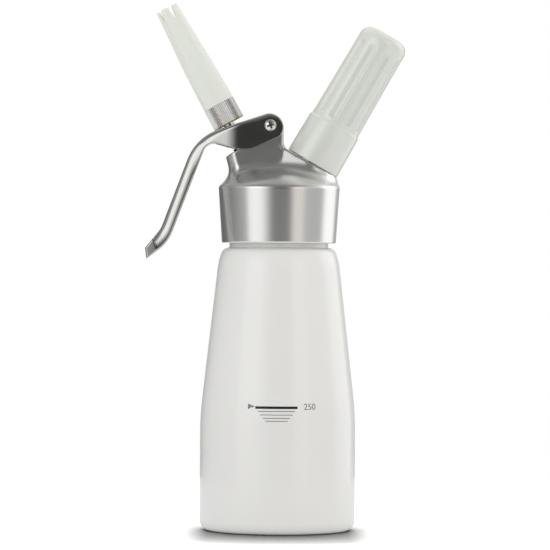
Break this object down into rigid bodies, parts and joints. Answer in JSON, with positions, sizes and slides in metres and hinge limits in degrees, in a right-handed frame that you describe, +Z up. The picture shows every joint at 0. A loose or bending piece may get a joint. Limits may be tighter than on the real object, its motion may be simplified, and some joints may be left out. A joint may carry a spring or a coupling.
{
  "type": "cream whipper",
  "caption": "Hand-held cream whipper: tapered white bottle, screw-on metal head with a squeeze lever, a decorating nozzle and a screw-on holder for a gas charger.",
  "frame": {"origin": "centre of the bottle's base, on the surface that it stands on", "axes": "+Z up along the bottle, +X towards the charger holder, -X towards the nozzle and the lever's handle"},
  "size_m": [0.1267, 0.076, 0.258],
  "materials": {
    "white_lacquer": "gloss white lacquer on aluminium",
    "satin_aluminium": "turned and polished aluminium",
    "polished_steel": "mirror polished stainless steel",
    "spring_steel": "drawn spring wire",
    "plated_brass": "satin nickel plate over brass",
    "brass": "turned brass",
    "black_plastic": "moulded black plastic",
    "nozzle_plastic": "moulded pale plastic, slightly translucent",
    "holder_plastic": "moulded pale grey plastic, satin",
    "grey_rubber": "moulded grey silicone rubber",
    "black_rubber": "moulded black rubber",
    "charger_steel": "drawn zinc plated steel"
  },
  "bodies": {
    "bottle": {"bottle": "white_lacquer"},
    "head_gasket": {"head_gasket": "grey_rubber"},
    "head": {"head_casting": "satin_aluminium", "valve_guide": "brass", "stem_o_ring": "black_rubber", "valve_spring": "spring_steel", "pin_housing": "brass", "piercing_pin": "spring_steel", "charger_seal": "black_rubber", "check_valve": "black_rubber", "pivot_screw": "polished_steel", "pivot_nut": "polished_steel", "pivot_washers": "black_plastic"},
    "lever": {"lever": "polished_steel"},
    "valve_stem": {"valve_stem": "polished_steel", "spring_cap": "black_plastic", "poppet": "brass", "poppet_seal": "black_rubber", "poppet_nut": "brass"},
    "nozzle_washer": {"nozzle_washer": "grey_rubber"},
    "nozzle": {"nozzle_ring": "plated_brass", "nozzle": "nozzle_plastic"},
    "gas_charger": {"gas_charger": "charger_steel"},
    "charger_holder": {"charger_holder": "holder_plastic"}
  },
  "joints": [
    {"name": "head_rise", "type": "slide", "parent": "bottle", "child": "head_gasket", "axis": [0, 0, 1], "range_m": [0, 0.015]},
    {"name": "head_turn", "type": "hinge", "parent": "head_gasket", "child": "head", "pos_m": [0, 0, 0.16156], "axis": [0, 0, 1], "range_deg": [0, 1081]},
    {"name": "stem_slide", "type": "slide", "parent": "head", "child": "valve_stem", "axis": [0.481, 0, -0.8767], "range_m": [0, 0.00312], "deforming": ["valve_spring"]},
    {"name": "lever_squeeze", "type": "hinge", "parent": "head", "child": "lever", "pos_m": [-0.0044, 0, 0.19792], "axis": [0, -1, 0], "range_deg": [0, 10.2], "stiffness_Nm_per_rad": 0.6, "springref_deg": -17.19},
    {"name": "nozzle_rise", "type": "slide", "parent": "valve_stem", "child": "nozzle_washer", "axis": [-0.481, 0, 0.8767], "range_m": [0, 0.006]},
    {"name": "nozzle_turn", "type": "hinge", "parent": "nozzle_washer", "child": "nozzle", "pos_m": [-0.0247, 0, 0.19906], "axis": [-0.481, 0, 0.8767], "range_deg": [0, 2161]},
    {"name": "holder_rise", "type": "slide", "parent": "head", "child": "gas_charger", "axis": [0.5, 0, 0.866], "range_m": [0, 0.015]},
    {"name": "holder_turn", "type": "hinge", "parent": "gas_charger", "child": "charger_holder", "pos_m": [0.01605, 0, 0.17941], "axis": [0.5, 0, 0.866], "range_deg": [0, 1801]}
  ],
  "couplings": [
    {"joint": "head_turn", "follows": "head_rise", "rad_per_m": 1256.6},
    {"joint": "lever_squeeze", "follows": "stem_slide", "rad_per_m": 55.866},
    {"joint": "nozzle_turn", "follows": "nozzle_rise", "rad_per_m": 6283.2},
    {"joint": "holder_turn", "follows": "holder_rise", "rad_per_m": 2094.4}
  ]
}
